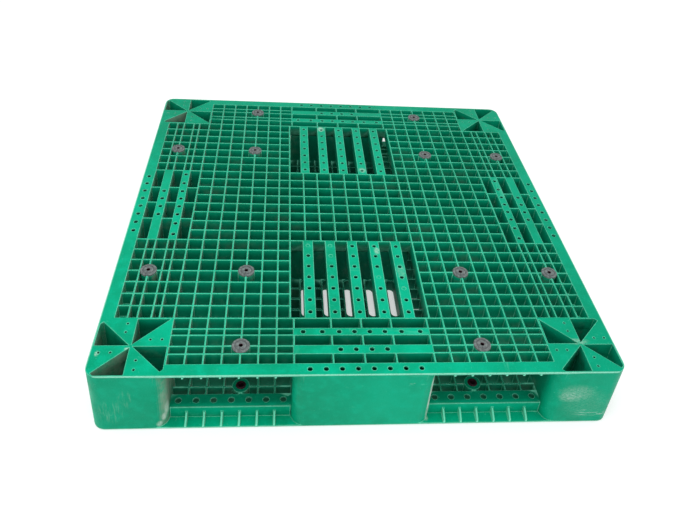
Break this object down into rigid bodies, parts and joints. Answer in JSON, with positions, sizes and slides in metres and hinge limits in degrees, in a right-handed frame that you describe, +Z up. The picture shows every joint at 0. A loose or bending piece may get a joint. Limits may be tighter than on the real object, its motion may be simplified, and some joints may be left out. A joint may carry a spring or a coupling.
{
  "type": "double-faced plastic pallet",
  "caption": "Square four-way-entry plastic pallet with open ribbed decks on both faces, hollow blocks, slotted windows and rubber anti-slip plugs.",
  "frame": {"origin": "centre of the footprint, on the floor under the lower plugs", "axes": "+Z up, +Y towards the rear edge, windows at the front and rear (-Y and +Y)"},
  "size_m": [1, 1, 0.15],
  "materials": {
    "deck_plastic": "moulded green polyethylene, satin, scuffed on ribs and edges",
    "block_plastic": "moulded green polyethylene, satin, scuffed on the outer faces",
    "plug_rubber": "matt grey-brown rubber"
  },
  "bodies": {
    "root": {"upper_deck": "deck_plastic", "lower_deck": "deck_plastic", "centre_block": "block_plastic", "corner_block_front_left": "block_plastic", "corner_block_front_right": "block_plastic", "corner_block_rear_right": "block_plastic", "corner_block_rear_left": "block_plastic", "side_block_front": "block_plastic", "side_block_right": "block_plastic", "side_block_rear": "block_plastic", "side_block_left": "block_plastic", "top_plug_1": "plug_rubber", "top_plug_2": "plug_rubber", "top_plug_3": "plug_rubber", "top_plug_4": "plug_rubber", "top_plug_5": "plug_rubber", "top_plug_6": "plug_rubber", "top_plug_7": "plug_rubber", "top_plug_8": "plug_rubber", "top_plug_9": "plug_rubber", "top_plug_10": "plug_rubber", "top_plug_11": "plug_rubber", "top_plug_12": "plug_rubber", "bottom_plug_1": "plug_rubber", "bottom_plug_2": "plug_rubber", "bottom_plug_3": "plug_rubber", "bottom_plug_4": "plug_rubber", "bottom_plug_5": "plug_rubber", "bottom_plug_6": "plug_rubber", "bottom_plug_7": "plug_rubber", "bottom_plug_8": "plug_rubber", "bottom_plug_9": "plug_rubber", "bottom_plug_10": "plug_rubber", "bottom_plug_11": "plug_rubber", "bottom_plug_12": "plug_rubber"}
  },
  "joints": []
}
